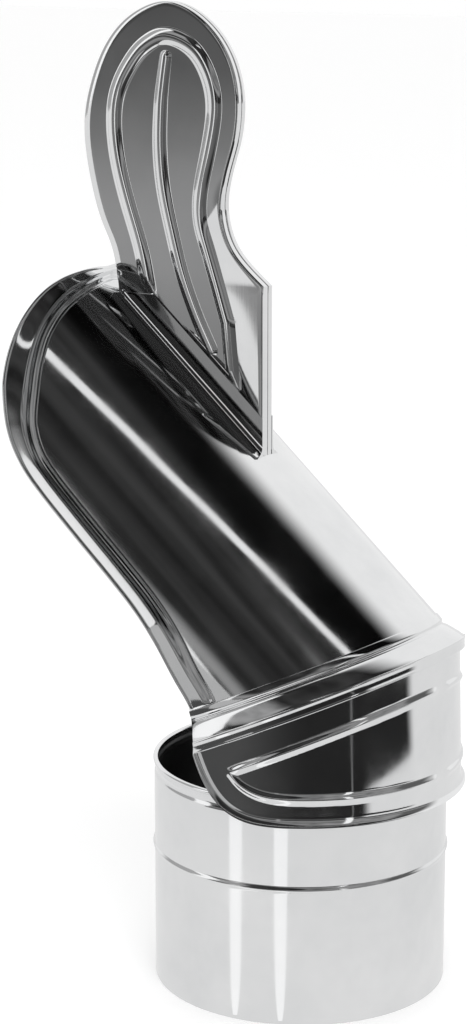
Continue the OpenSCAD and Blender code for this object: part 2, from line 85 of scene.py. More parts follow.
def plane_s(a, r, d):
    """Distance along the hood's axis of the plane d above the mitre: d / cos - r cos a tan."""
    return d / math.cos(HALF) - r * np.cos(np.radians(a)) * math.tan(HALF)


def plane_z(a, r, h):
    """Height of the plane that lies h below the mitre: mitre height + r cos a tan - h."""
    return MITRE_Z + r * np.cos(np.radians(a)) * math.tan(HALF) - h


# %% [markdown]
# ## Mesh helpers
# Every sheet here is a stack of sections. A section is a closed loop of points round the sheet's
# thickness: the outer face one way, the inner face back. Quads join each section to the next.
# Smooth shading with sharp edges above 40 degrees, or 45 on the vane, keeps the cut rims crisp
# and the faces fluid.

# %% Curves and unit vectors
def smooth(points, per):
    """Catmull-Rom curve: cubic pieces through the points, per steps for each piece."""
    p = np.asarray(points, float)
    q = np.vstack([p[:1], p, p[-1:]])
    t = (np.arange(per) / per)[None, :, None]
    a, b, c, d = (q[k : k + len(p) - 1, None, :] for k in range(4))
    cubic = 2 * b + (c - a) * t + (2 * a - 5 * b + 4 * c - d) * t**2
    cubic = 0.5 * (cubic + (3 * b - a - 3 * c + d) * t**3)
    return np.vstack([cubic.reshape(-1, p.shape[1]), p[-1:]])


def unit(v):
    """Vectors divided by their length."""
    return v / np.maximum(np.linalg.norm(v, axis=-1, keepdims=True), 1e-12)


def step(x, low, high):
    """0 below low, 1 above high, and 3t^2 - 2t^3 between."""
    t = np.clip((x - low) / (high - low), 0, 1)
    return t * t * (3 - 2 * t)


def cosine_hump(d, half):
    """Squared cosine: 1 where d is 0, falling to 0 at half on either side."""
    return np.cos(np.clip(d / half, -1, 1) * math.pi / 2) ** 2


# %% Meshes from sections
def quad_faces(sections, around, wrap):
    """Index quads of a grid: section i, point j to section i + 1, point j + 1."""
    i = np.arange(sections if wrap else sections - 1)[:, None]
    j = np.arange(around)[None, :]
    k = (j + 1) % around
    n = (i + 1) % sections
    quads = np.stack([i * around + j, i * around + k, n * around + k, n * around + j], axis=-1)
    return quads.reshape(-1, 4)


def end_faces(sections, around):
    """Strips that close the first and last section, from the outer face to the inner face."""
    j = np.arange(around // 2 - 1)
    first = np.stack([j, around - 1 - j, around - 2 - j, j + 1], axis=-1)
    last = first[:, ::-1] + (sections - 1) * around
    return np.vstack([first, last])


def sheet_piece(name, sections, body, replaced, material, wrap=False):
    """A closed sheet from sections of shape (n, points, 3) in millimetres."""
    n, around = sections.shape[:2]
    faces = quad_faces(n, around, wrap)
    if not wrap:
        faces = np.vstack([faces, end_faces(n, around)])
    points = sections.reshape(-1, 3)
    return mesh_piece(name, points, faces.tolist(), body, replaced, material)


def mesh_piece(name, points, faces, body, replaced, material, sharp=40):
    """A mesh object at the origin, in metres, that rides on a body and stands for CAD nodes."""
    mesh = bpy.data.meshes.new(name)
    mesh.from_pydata((points / 1000).tolist(), [], faces)
    mesh.validate()
    if signed_volume(mesh) < 0:
        mesh.flip_normals()
    mesh.polygons.foreach_set("use_smooth", np.ones(len(mesh.polygons), bool))
    mesh.set_sharp_from_angle(angle=math.radians(sharp))
    mesh.materials.append(material)
    piece = bpy.data.objects.new(name, mesh)
    bpy.context.scene.collection.objects.link(piece)
    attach(piece, body)
    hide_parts(replaced)
    print(f"{name}: {len(mesh.polygons)} faces, {signed_volume(mesh):.1f} cm3")
    return piece


def signed_volume(mesh):
    """Sum of the tetrahedra from the origin to each triangle, in cubic centimetres."""
    mesh.calc_loop_triangles()
    co = np.empty(len(mesh.vertices) * 3)
    mesh.vertices.foreach_get("co", co)
    tri = np.empty(len(mesh.loop_triangles) * 3, np.int32)
    mesh.loop_triangles.foreach_get("vertices", tri)
    a, b, c = co.reshape(-1, 3)[tri.reshape(-1, 3)].transpose(1, 0, 2)
    return float((a * np.cross(b, c)).sum() / 6 * 1e6)


# %% [markdown]
# ## Polished steel
# Stainless sheet is a mirror with small faults: it waves a little between the folds, fine
# scratches run through the polish, and finger marks dull it in patches. The waves and scratches
# are bump, the patches are roughness, and the colour stays a nearly neutral grey.

# %% Node helpers
def add_node(tree, kind, **values):
    """A shader node whose named inputs or properties are set."""
    node = tree.nodes.new(kind)
    for key, value in values.items():
        if key in node.inputs:
            node.inputs[key].default_value = value
        else:
            setattr(node, key, value)
    return node


def ramp(tree, source, low, high, a, b):
    """Maps a 0-1 texture from [low, high] to [a, b]."""
    node = add_node(tree, "ShaderNodeMapRange")
    node.inputs["From Min"].default_value = low
    node.inputs["From Max"].default_value = high
    node.inputs["To Min"].default_value = a
    node.inputs["To Max"].default_value = b
    tree.links.new(source, node.inputs["Value"])
    return node.outputs["Result"]


# %% Polished sheet material
def polished(name, stretch, wave=0.5, rough=(0.05, 0.13), light=0.92):
    """Mirror steel: waves in the sheet, fine scratches along one axis, dull patches."""
    material = bpy.data.materials.new(name)
    material.use_nodes = True
    tree = material.node_tree
    shader = tree.nodes["Principled BSDF"]
    shader.inputs["Metallic"].default_value = 1.0
    shader.inputs["IOR"].default_value = 2.5
    place = add_node(tree, "ShaderNodeTexCoord").outputs["Object"]
    long = add_node(tree, "ShaderNodeMapping")
    long.inputs["Scale"].default_value = stretch
    tree.links.new(place, long.inputs["Vector"])
    waves = add_node(tree, "ShaderNodeTexNoise", Scale=14.0, Detail=1.0)
    tree.links.new(place, waves.inputs["Vector"])
    lines = add_node(tree, "ShaderNodeTexNoise", Scale=900.0, Detail=3.0)
    tree.links.new(long.outputs["Vector"], lines.inputs["Vector"])
    marks = add_node(tree, "ShaderNodeTexNoise", Scale=22.0, Detail=5.0, Roughness=0.62)
    tree.links.new(place, marks.inputs["Vector"])
    tint = add_node(tree, "ShaderNodeMix", data_type="RGBA")
    tint.inputs[6].default_value = (0.76 * light, 0.77 * light, 0.78 * light, 1)
    tint.inputs[7].default_value = (light, light, light, 1)
    tree.links.new(marks.outputs["Fac"], tint.inputs[0])
    tree.links.new(tint.outputs[2], shader.inputs["Base Color"])
    dull = ramp(tree, marks.outputs["Fac"], 0.35, 0.75, rough[0], rough[1])
    tree.links.new(dull, shader.inputs["Roughness"])
    broad = add_node(tree, "ShaderNodeBump", Strength=wave, Distance=0.0006)
    tree.links.new(waves.outputs["Fac"], broad.inputs["Height"])
    fine = add_node(tree, "ShaderNodeBump", Strength=0.05, Distance=0.00005)
    tree.links.new(lines.outputs["Fac"], fine.inputs["Height"])
    tree.links.new(broad.outputs["Normal"], fine.inputs["Normal"])
    tree.links.new(fine.outputs["Normal"], shader.inputs["Normal"])
    return material


hood_steel = polished("polished hood", (1, 1, 1))
skirt_steel = polished("polished skirt", (1, 1, 0.04))
pipe_steel = polished("polished pipe", (1, 1, 0.04), wave=0.35, rough=(0.07, 0.16))
# The pipe's inner face: its dark base colour (light 0.14) is painted shade for the dark inside of
# the pipe, and its higher roughness blurs what it reflects.
inner_shade_steel = polished("inner face with painted shade", (1, 1, 0.04), rough=(0.3, 0.5), light=0.14)
vane_steel = polished("polished vane", (1, 1, 0.05), wave=0.5, rough=(0.04, 0.09))

# %% [markdown]
# ## The base pipe
# A pipe like this is rolled from sheet, and its bead, groove and rim are rolled in by wheels. So
# it is a profile turned about the upright axis: the outer face going up, over the rolled rim, and
# the inner face going down again, one sheet thickness inside.

# %% Base pipe
STOP_BEAD_Z, STOP_BEAD_OUT, STOP_BEAD_HALF = 70.7, 0.95, 2.0
RIM_GROOVE_Z, RIM_GROOVE_IN, RIM_GROOVE_HALF = 110.8, 0.7, 2.6
RIM_Z, RIM_R, RIM_STEPS = 115.7, 1.3, 22
EDGE_CHAMFER = 0.25


def pipe_wall(z):
    """Radius at height z: the wall, plus the cosine stop bead, minus the cosine groove."""
    bead = STOP_BEAD_OUT * cosine_hump(z - STOP_BEAD_Z, STOP_BEAD_HALF)
    groove = RIM_GROOVE_IN * cosine_hump(z - RIM_GROOVE_Z, RIM_GROOVE_HALF)
    return PIPE_R + bead - groove


def pipe_profile():
    """Loop of (radius, height) points, outer face up, rim round, inner face down."""
    z = np.concatenate(
        [
            [0.0, 0.3, 1, 4],
            np.linspace(10, 67.5, 12),
            np.linspace(68.2, 73.2, 17),
            np.linspace(74, 107.6, 8),
            np.linspace(108, 113.6, 15),
        ]
    )
    edge = np.where(z < 0.2, EDGE_CHAMFER, 0)
    outer = np.stack([pipe_wall(z) - edge, z], axis=1)
    turn = np.radians(np.linspace(-60, 235, RIM_STEPS))
    rim_r = PIPE_R - RIM_R / 2 + RIM_R * np.cos(turn)
    rim = np.stack([rim_r, RIM_Z + RIM_R * np.sin(turn)], axis=1)
    inner = np.stack([pipe_wall(z) - SHEET + edge, z], axis=1)[::-1]
    return np.vstack([outer, rim, inner])


profile = pipe_profile()
angle = np.arange(0, 360, 1.0)
sections = round_point(angle[:, None], profile[None, :, 0], profile[None, :, 1])
base_pipe = sheet_piece("pipe_sheet", sections, "base", "base_pipe", pipe_steel, wrap=True)
# The inner rows of the pipe's profile get the steel whose dark colour is painted shade.
base_pipe.data.materials.append(inner_shade_steel)
row = np.arange(len(base_pipe.data.polygons)) % len(profile)
inner_rows = (len(profile) - RIM_STEPS) // 2
shaded_inner_faces = (row >= len(profile) - inner_rows).astype(np.int32)
base_pipe.data.polygons.foreach_set("material_index", shaded_inner_faces)

# %% [markdown]
# ## The hood's shell
# The hood is a slanted tube with one side cut away in a long mouth. The mouth's edge is a curve
# on the tube, given by its distance along the tube and its angle from the ridge. Along that curve
# the sheet first dips in a pressed groove, then turns out as a lip, and ends in a small hem.

# %% The mouth's curve
HOOD_LEN = 220.5
mouth_shape = np.array(
    [
        [1, 0, 8.3],
        [0.989, 14, 12.3],
        [0.973, 28, 16],
        [0.943, 39.5, 17.9],
        [0.902, 48.5, 19.4],
        [0.852, 57, 19.3],
        [0.798, 65.2, 16.1],
        [0.739, 69.7, 14.2],
        [0.671, 71.2, 13.8],
        [0.544, 71.8, 13.8],
        [0.417, 72.1, 13.8],
        [0.317, 72.7, 13.9],
        [0.227, 74.6, 14],
        [0.154, 77.6, 13.8],
        [plane_s(82, TUBE_R, COLLAR_TOP) / HOOD_LEN, 82, 13.6],
    ]
)
MOUTH_STEPS = 18
mouth = smooth(mouth_shape, MOUTH_STEPS)
mouth[:, 0] *= HOOD_LEN
print("mouth points on one side:", len(mouth))

# %% Groove, lip and hem
GROOVE = 3.7
GROOVE_DEEP = 1.3
LIP_FLARE = math.radians(28)
HEM_R = 1.05


def lip_profile(width, flare):
    """Height across the lip: cosine groove, raised wall, near-flat band, round hem."""
    g = np.linspace(0, 1, 13)[None, :]
    groove_v = -GROOVE_DEEP * 0.5 * (1 - np.cos(2 * math.pi * g**0.95)) + 0.3 * g**3
    groove = np.stack(np.broadcast_arrays(GROOVE * g, groove_v), axis=-1)
    groove = np.broadcast_to(groove, (len(width), 13, 2))
    b = (width - GROOVE)[:, None]
    long, high = b * np.cos(flare)[:, None], b * np.sin(flare)[:, None]
    u = np.linspace(0.02, 1, 26)[None, :]
    q = u * (long - 2.2)
    wall = step(q / long, -0.04, 0.22) - step(0, -0.04, 0.22)
    v = 0.3 + high * (1.1 * wall - 0.06 * step(q / long, 0.2, 1.0))
    band = np.stack([q, v], axis=-1)
    turn = np.radians(np.linspace(160, -35, 9))[None, :]
    hem_v = v[:, -1:] - 0.25 + 0.75 * np.sin(turn)
    hem = np.stack([long - HEM_R + HEM_R * np.cos(turn), hem_v], axis=-1)
    rest = np.concatenate([band, hem], axis=1) + np.array([GROOVE, 0])
    return np.concatenate([groove, rest], axis=1)


# %% Hood sections
def hood_side(thick):
    """Rows of one face of the sheet, thick below the outer face, for one half of the hood."""
    s, a, w = mouth.T
    count = np.arange(len(mouth)) * 2 / MOUTH_STEPS
    left = count[-1] - count
    flare = LIP_FLARE * np.minimum(1, left / 6 + 0.2)
    edge_line = tube_point(s, a, TUBE_R)
    along = unit(np.gradient(edge_line, axis=0))
    along[0] = [0, 1, 0]
    up = unit(tube_point(0, a, 1) - tube_point(0, a, 0))
    out = unit(np.cross(up, along))
    r = TUBE_R - thick
    start = plane_s(a, r, COLLAR_TOP)
    back = np.array([300, 60, 30, 14, 6, 2.5, 1.0, 0.35])[None, :]
    rows = s[:, None] - back * np.clip((s - start) / 70, 0, 1)[:, None]
    rows = np.maximum(rows, start[:, None])
    body = tube_point(rows, a[:, None], r)
    lip = lip_profile(w, flare)
    q0, q1 = lip[..., 0], lip[..., 1]
    if thick:
        slope = np.gradient(lip, axis=1)
        normal = unit(np.stack([-slope[..., 1], slope[..., 0]], axis=-1))
        q0, q1 = q0 - thick * normal[..., 0], q1 - thick * normal[..., 1]
        q0 = np.minimum(q0, (w - 0.1)[:, None])
    lip_points = edge_line[:, None] + q0[..., None] * out[:, None] + q1[..., None] * up[:, None]
    b = a[:, None] + np.degrees(np.arctan(q0 / TUBE_R))
    rr = np.sqrt(TUBE_R**2 + q0**2) + q1
    flat = tube_point(plane_s(b, rr, COLLAR_TOP), b, rr)
    share = step(count, count[-1] - 1.6, count[-1])[:, None, None]
    lip_points = lip_points * (1 - share) + flat * share
    return np.concatenate([body, lip_points], axis=1)


def both_halves(half):
    """Adds the mirror image across the XZ plane before a half that starts on that plane."""
    other = half[:0:-1] * np.array([1, -1, 1])
    return np.concatenate([other, half], axis=0)


outer, inner = hood_side(0), hood_side(SHEET)
hood_sections = both_halves(np.concatenate([outer, inner[:, ::-1]], axis=1))
hood_shell = sheet_piece("hood_sheet", hood_sections, "hood", "hood_shell", hood_steel)

# %% [markdown]
# ## The collar and its lock seam
# A short band is pushed over the lower end of the tube. It has a V-shaped groove and then flares
# out to the lock seam, where its edge is folded over the skirt's. The band is drawn as rows at a
# chosen distance from the mitre plane, each with its own radius.

# %% Collar
collar_outer = smooth(
    [
        [15, -0.35],
        [15.05, 0.35],
        [14.7, 0.6],
        [12.4, 0.62],
        [11.4, 0.45],
        [10.3, -0.35],
        [9.7, -0.5],
        [9.1, -0.2],
        [7.9, 0.75],
        [5, 2.0],
        [2, 3.1],
        [0.6, 3.5],
        [0, 3.6],
    ],
    5,
)
seam_shape = [[0.35, 3.75], [0, 3.9], [-0.7, 3.95], [-2, 3.72], [-4, 3.7]]
seam_shape += [[-5.2, 3.78], [-5.75, 3.75], [-SEAM_H, 3.4]]
seam_outer = smooth(seam_shape, 5)
END_TOP, END_SEAM = 92.4, 98.3


def collar_rows(rows, t):
    """Points of rows (distance above the mitre, radius over the tube) at share t of a half turn."""
    d, r = rows[None, :, 0], TUBE_R + rows[None, :, 1]
    a = t[:, None] * (END_TOP + (END_SEAM - END_TOP) * (1 - np.clip(d / COLLAR_TOP, 0, 1)))
    upper = tube_point(plane_s(a, r, d), a, r)
    lower = round_point(a, r, plane_z(a, r, -d))
    return np.where((d < 0)[..., None], lower, upper)


t = np.linspace(-1, 1, 321)
outside = np.vstack([collar_outer[:-1], seam_outer])
seam_inner = [[-0.7, 2.0], [-3, 0.8], [-SEAM_H, 0.8]]
inside = np.vstack([collar_outer[3:-1] - [0, SHEET], seam_inner])
crowd = np.linspace(1e-3, 0, len(outside) - len(inside))[:, None]
inside = np.vstack([inside[:1] + crowd, inside])
collar_sections = np.concatenate([collar_rows(outside, t), collar_rows(inside[::-1], t)], axis=1)
collar = sheet_piece("collar_sheet", collar_sections, "hood", "collar", skirt_steel)

# %% [markdown]
# ## The skirt
# The skirt is a wall round the rear of the base pipe. Its height is a function of two parameters,
# the angle and the row. Two beads stand out of it, and its foot turns out in a round flare.

# %% Skirt wall, beads and foot
ROOT_Z = 111.6
SKIRT_END = 94.5
NARROWING = 2
ROOT_CLIMB_FROM = 58
UPPER_BEAD_DROP = 21
LOWER_BEAD_RISE, LOWER_BEAD_CLIMB = 8.3, 13
SKIRT_BEAD_OUT, SKIRT_BEAD_HALF = 1.2, 3


def wall_r(z):
    """Radius of the wall, which narrows from the foot's root to the top."""
    return SKIRT_R - NARROWING * np.clip((z - ROOT_Z) / 70, 0, 1)


def skirt_root(a):
    """Height of the foot's root: level at the rear, rising to the seam at the wall's end."""
    top = plane_z(SKIRT_END, SKIRT_R, SEAM_H)
    climb = np.maximum(a - ROOT_CLIMB_FROM, 0) / (SKIRT_END - ROOT_CLIMB_FROM)
    return ROOT_Z + (top - ROOT_Z) * climb**4.5


def upper_bead(a):
    """The upper bead runs parallel to the seam, a fixed drop below the mitre."""
    return plane_z(a, SKIRT_R, UPPER_BEAD_DROP)


def lower_bead(a):
    """The lower bead follows the foot and climbs to the upper one near the front."""
    return ROOT_Z + LOWER_BEAD_RISE + LOWER_BEAD_CLIMB * (np.maximum(a - 55, 0) / 30.5) ** 4


def skirt_side(thick):
    """Rows of one face of the skirt for one half, from the seam to the edge of the foot."""
    a = SKIRT_END * (1 - (1 - np.linspace(0, 1, 151)) ** 1.6)
    top = plane_z(a, SKIRT_R - NARROWING, SEAM_H)
    root = skirt_root(a)
    share = np.linspace(0, 1, 90)[None, :]
    z = top[:, None] + (root - top)[:, None] * share
    fade = (1 - step(a, 79, 86)) * step(a, 1, 6)
    upper = cosine_hump(z - upper_bead(a)[:, None], SKIRT_BEAD_HALF)
    lower = cosine_hump(z - lower_bead(a)[:, None], SKIRT_BEAD_HALF)
    rise = SKIRT_BEAD_OUT * fade[:, None] * np.maximum(upper, lower)
    wall = round_point(a[:, None], wall_r(z) + rise - thick, z)
    line = round_point(a, wall_r(root), root)
    along = unit(np.gradient(line, axis=0))
    along[0] = [0, 1, 0]
    up = round_point(a, 1, 0)
    out = unit(np.cross(along, up))
    turn = np.linspace(0.12, 1, 14)
    bend = turn * math.pi / 2 * 0.92
    q0, q1 = 5.4 * np.sin(bend), 2.6 * (1 - np.cos(bend))
    q0, q1 = q0 + thick * 0.3 * turn, q1 - thick * (1 - 0.35 * turn)
    foot = line[:, None] + q0[None, :, None] * out[:, None] + q1[None, :, None] * up[:, None]
    return np.concatenate([wall, foot], axis=1)


outer, inner = skirt_side(0), skirt_side(SHEET)
skirt_sections = both_halves(np.concatenate([outer, inner[:, ::-1]], axis=1))
skirt = sheet_piece("skirt_sheet", skirt_sections, "hood", "skirt", skirt_steel)

# %% [markdown]
# ## The vane
# Two equal pressings lie back to back. Each is a shallow tray with rounded edges, a bead that
# follows the outline and a rib up the middle. Three closed curves carry the surface: the outline,
# the bead and a very thin loop round the rib. The rows between them are blended, so the bead's
# crest and the rib's crest lie exactly on a row, and their humps come out clean.

# %% The vane's curves
RIDGE = math.tan(math.pi / 2 - TILT)
VANE_REAR = 20.5
FOOT_S = (TUBE_R * math.cos(TILT) + VANE_REAR) / math.sin(TILT)
vane_foot = tube_point(FOOT_S, 0, TUBE_R)


def line_points(a, b, n):
    """n points from a towards b, without b."""
    t = np.arange(n)[:, None] / n
    return np.array(a) * (1 - t) + np.array(b) * t


CURVE_STEPS = 14
RIB_END_STEPS = 6
outline_shape = [[-89.3, 89.3 * RIDGE], [-92.6, 98], [-101.4, 116], [-107.8, 140], [-110, 160]]
outline_shape += [[-107, 178], [-97.5, 200], [-82, 216], [-60, 224.2], [-40, 218], [-24, 203]]
outline_shape += [[-16, 183], [-16.5, 160], [-23, 139], [-25.5, 121], [-19, 102], [0, 85.6]]
outline = np.vstack(
    [
        smooth(outline_shape, CURVE_STEPS)[:-1],
        line_points([0, 85.6], [0, 0], 20),
        line_points([0, 0], outline_shape[0], 22),
    ]
)
bead_shape = [[-67.5, 68], [-72.9, 97.4], [-81.9, 123.4], [-88, 145], [-90, 165], [-87, 181]]
bead_shape += [[-77.5, 195.5], [-68.5, 203], [-57.3, 206.7], [-41.5, 201], [-32, 187.5]]
bead_shape += [[-29, 172], [-32.6, 152], [-37.8, 131], [-38, 116], [-33, 101], [-27, 83]]
bead_line = np.vstack(
    [
        smooth(bead_shape, CURVE_STEPS)[:-1],
        line_points([-27, 83], [-21.5, 66], 10),
        line_points([-21.5, 66], [-18.5, 36], 10),
        line_points([-18.5, 36], [-44, 56], 11),
        line_points([-44, 56], [-67.5, 68], 11),
    ]
)
rib_shape = [[-31, 51], [-40.5, 69], [-48.8, 89], [-55.2, 111], [-60, 131], [-62, 151]]
rib_shape += [[-61.5, 171], [-60, 184], [-56.9, 203.5]]
rib_line = smooth(rib_shape, CURVE_STEPS)


def rounder(p, ends):
    """The first points of a curve averaged with their neighbours, the two ends kept."""
    q = p.copy()
    for _ in range(24):
        q[1 : ends - 1] = (q[: ends - 2] + 2 * q[1 : ends - 1] + q[2:ends]) / 4
    return q


curved = CURVE_STEPS * (len(outline_shape) - 1) + 1
outline, bead_line = rounder(outline, curved), rounder(bead_line, curved)
print("vane curve points:", len(outline), len(bead_line))


# %% Loops round the curves
def inward(p):
    """At each point of a closed curve, the step that moves the curve inwards by 1."""
    u = unit(p - np.roll(p, 1, axis=0))
    v = unit(np.roll(p, -1, axis=0) - p)
    a = np.stack([u[:, 1], -u[:, 0]], axis=1)
    b = np.stack([v[:, 1], -v[:, 0]], axis=1)
    return (a + b) / (1 + (a * b).sum(axis=1, keepdims=True))


def inset(p, d):
    """A closed curve moved inwards by d, which is one number or one for each point."""
    return p + np.reshape(d, (-1, 1)) * inward(p)


def rib_loop(w):
    """Closed loop at distance w round the rib's line, with as many points as the outline."""
    d = unit(np.gradient(rib_line, axis=0))
    side = np.stack([d[:, 1], -d[:, 0]], axis=1)
    index = np.arange(len(rib_line))
    last = index[-1] - RIB_END_STEPS
    phi = np.clip((index - last) / RIB_END_STEPS, 0, 1)[:, None] * math.pi / 2
    mid = rib_line[np.minimum(index, last)]
    up = w * np.sin(phi) * d[last]
    left, right = mid - w * np.cos(phi) * side + up, mid + w * np.cos(phi) * side + up
    n = len(outline) - 2 * len(rib_line) + 2
    turn = np.linspace(0, math.pi, n + 1)[1:-1, None]
    end = rib_line[0] + w * (np.cos(turn) * side[0] - np.sin(turn) * d[0])
    return np.vstack([left[:-1], mid[-1:] + w * d[last], right[::-1][1:], end])


def hump(u):
    """Broad hump with a flat crest, 1 - |u|^2.5."""
    return 1 - np.clip(np.abs(u), 0, 1) ** 2.5


def under_web(p):
    """1 where beads stand at full height, 0 where the foot's web lies flat on the pressing."""
    return step((p[:, 1] + p[:, 0] * RIDGE) * math.sin(TILT), 15.0, 16.8)


# %% One pressing
DEPTH = 4.0
BEAD_H, BEAD_W = 1.5, 4.0
SAG_RIM, SAG_BEAD = 0.8, 0.7
leading = np.maximum(0, inward(outline)[:, 0])
edge_width = 1.3 + 3.9 * leading
edge_deep = 1.3 + 0.9 * leading
sag = step(outline[:, 0], -60, -30) * step(-outline[:, 1], -140, -100)


def vane_rows():
    """Closed loops of (x, y, z): joint edge, rounded edge, band, bead, panel, rib."""
    rows = []
    flat = np.full(len(outline), DEPTH)
    for y, d in [(0.0, 0.45), (0.25, 0.1), (0.6, 0.0)]:
        rows.append((inset(outline, d), np.full(len(outline), y)))
    for turn in np.radians(np.linspace(0, 90, 11)):
        y = flat + SAG_RIM * sag - (edge_deep + SAG_RIM * sag) * (1 - math.sin(turn))
        rows.append((inset(outline, edge_width * (1 - math.cos(turn))), y))
    rim, foot = inset(outline, edge_width), inset(bead_line, -BEAD_W)
    for q in np.linspace(0, 1, 10)[1:-1]:
        tilt = SAG_RIM * (1 - q) - SAG_BEAD * q
        rows.append((rim * (1 - q) + foot * q, flat + sag * tilt))
    for u in np.linspace(-1, 1, 19):
        p = inset(bead_line, u * BEAD_W)
        low = flat - SAG_BEAD * sag * (1 - step(u, -1, 0.2))
        rows.append((p, low + BEAD_H * hump(u) * under_web(p)))
    start, stop = inset(bead_line, BEAD_W), rib_loop(0.9 * BEAD_W)
    for q in np.linspace(0, 1, 18)[1:-1]:
        rows.append((start * (1 - q) + stop * q, flat))
    for u in np.linspace(0.9, 0.04, 11):
        p = rib_loop(u * BEAD_W)
        rows.append((p, flat + 0.9 * BEAD_H * hump(u / 0.9) * under_web(p)))
    return np.array([np.stack([p[:, 0], y, p[:, 1]], axis=1) for p, y in rows])


def vane_piece(name, node, side):
    """A closed pressing: shown face, thin rib loop zipped up, and a flat back in the joint."""
    back = inset(outline, SHEET)
    back = np.stack([back[:, 0], np.full(len(back), 0.05), back[:, 1]], axis=1)
    loops = (np.concatenate([back[None], vane_rows()]) + vane_foot) * [1, side, 1]
    m, n = loops.shape[:2]
    last = (m - 1) * n
    half = len(rib_line) - 1
    a = np.arange(half - 1)
    zip_quads = np.stack([a, a + 1, 2 * half - a - 1, 2 * half - a], axis=-1) + last
    faces = np.vstack([quad_faces(m, n, False), zip_quads]).tolist()
    faces.append([last + half - 1, last + half, last + half + 1])
    faces.append([last] + [last + x for x in range(2 * half, n)])
    faces.append(list(range(n))[::-1])
    if side > 0:
        faces = [f[::-1] for f in faces]
    points = loops.reshape(-1, 3)
    return mesh_piece(name, points, faces, "hood", node, vane_steel, sharp=45)


vane_near = vane_piece("vane_near_sheet", "vane_near", -1)
vane_far = vane_piece("vane_far_sheet", "vane_far", 1)

# %% [markdown]
# ## The feet of the vane
# Each foot is one folded strip: an upright web against the vane and a flange that lies on the
# hood. Its section is a fixed profile with a round inner corner, carried along the tube, and each
# point of the profile has its own start and end, which cuts the strip to shape.

# %% Feet
WEB_H = 14.6
FLANGE_END = 18.5
BEND_R = 3.2
FOOT_FRONT = 76.8


def foot_profile(inner):
    """Points (distance from the tube's axis, y) of the strip's outer or inner face."""
    top = TUBE_R + WEB_H
    if inner:
        web = np.stack([np.linspace(top, TUBE_R + 0.6, 8), np.full(8, DEPTH)], axis=1)
        y = np.linspace(DEPTH + 0.15, FLANGE_END, 18)
        arc = np.stack([np.sqrt(TUBE_R**2 - y**2), y], axis=1)
        return np.vstack([web, arc])
    web_y = DEPTH + SHEET
    bend_x, bend_y = TUBE_R + 3.8, web_y + BEND_R
    web = np.stack([np.linspace(top, bend_x + 0.1, 8), np.full(8, web_y)], axis=1)
    turn = np.radians(np.linspace(0, 84, 12))[1:]
    bend = np.stack([bend_x - BEND_R * np.sin(turn), bend_y - BEND_R * np.cos(turn)], axis=1)
    y = np.linspace(bend_y, FLANGE_END, 11)
    arc = np.stack([np.sqrt((TUBE_R + 1) ** 2 - y**2), y], axis=1)
    return np.vstack([web, bend, arc])


def foot_sections(side):
    """Sections along the tube between the cut rear end and the cut front end."""
    loop = np.vstack([foot_profile(False), foot_profile(True)[::-1]])
    x, y = loop.T
    upright = (x * math.cos(TILT) + VANE_REAR) / math.sin(TILT)
    slanted = FOOT_S + np.interp(y, [6, 15.5, FLANGE_END], [-20, 24, 32])
    rear = np.where(y < 6.4, upright, np.maximum(upright, slanted))
    level = vane_foot[2] + FOOT_FRONT
    front = (level - MITRE_Z - x * math.sin(TILT)) / math.cos(TILT)
    front = np.minimum(front, FOOT_S + np.interp(y, [6, FLANGE_END], [118, 112]))
    v = np.linspace(0, 1, 30)[:, None]
    s = rear[None] * (1 - v) + front[None] * v
    return tube_xyz(x[None], y[None] * side, s)


foot_near = sheet_piece("foot_near_sheet", foot_sections(-1), "hood", "foot_near", vane_steel)
foot_far = sheet_piece("foot_far_sheet", foot_sections(1), "hood", "foot_far", vane_steel)

# %% [markdown]
# ## Bars, spindle and bearing
# These pieces are plain bars and turned rounds, and the CAD mesh already has their shape. They
# only need a finish: drawn bar has fine lines along it, and the bushes are bronze.

# %% Satin steel and bronze
def satin(name, dark, light, stretch, rough):
    """Brushed metal: streaked colour, streaked roughness and a fine streaked bump."""
    material = bpy.data.materials.new(name)
    material.use_nodes = True
    tree = material.node_tree
    shader = tree.nodes["Principled BSDF"]
    shader.inputs["Metallic"].default_value = 1.0
    place = add_node(tree, "ShaderNodeTexCoord").outputs["Object"]
    long = add_node(tree, "ShaderNodeMapping")
    long.inputs["Scale"].default_value = stretch
    tree.links.new(place, long.inputs["Vector"])
    lines = add_node(tree, "ShaderNodeTexNoise", Scale=700.0, Detail=4.0)
    tree.links.new(long.outputs["Vector"], lines.inputs["Vector"])
    tint = add_node(tree, "ShaderNodeMix", data_type="RGBA")
    tint.inputs[6].default_value = (*dark, 1)
    tint.inputs[7].default_value = (*light, 1)
    tree.links.new(lines.outputs["Fac"], tint.inputs[0])
    tree.links.new(tint.outputs[2], shader.inputs["Base Color"])
    tree.links.new(ramp(tree, lines.outputs["Fac"], 0.3, 0.7, *rough), shader.inputs["Roughness"])
    fine = add_node(tree, "ShaderNodeBump", Strength=0.3, Distance=0.0001)
    tree.links.new(lines.outputs["Fac"], fine.inputs["Height"])
    tree.links.new(fine.outputs["Normal"], shader.inputs["Normal"])
    return material


